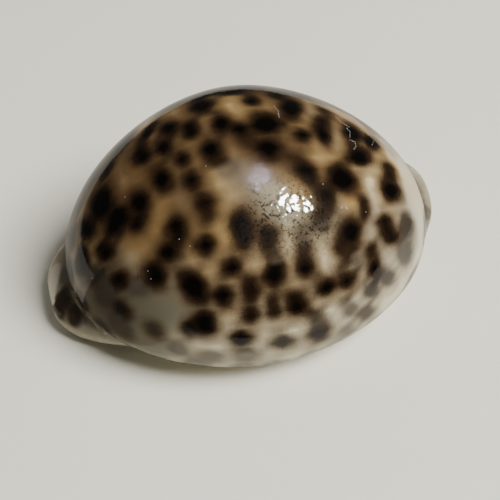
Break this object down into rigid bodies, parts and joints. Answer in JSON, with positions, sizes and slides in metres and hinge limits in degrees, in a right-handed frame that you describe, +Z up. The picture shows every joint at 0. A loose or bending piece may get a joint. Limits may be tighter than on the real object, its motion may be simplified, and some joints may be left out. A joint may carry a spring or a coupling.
{
  "type": "cowrie shell",
  "caption": "Glossy domed sea shell with a toothed slit along its flat underside, a notch at each end and a hollow inside; rests on its base as an ornament.",
  "frame": {"origin": "middle of the shell's bounding box in plan, on the plane the base rests on", "axes": "+Z up from the base, +X along the shell from its front end to its back end, +Y towards the outer lip"},
  "size_m": [0.087, 0.0608, 0.0473],
  "materials": {
    "glazed_shell": "glossy natural enamel with blurred dark brown spots on a cream to tan ground"
  },
  "bodies": {
    "root": {"shell": "glazed_shell"}
  },
  "joints": []
}
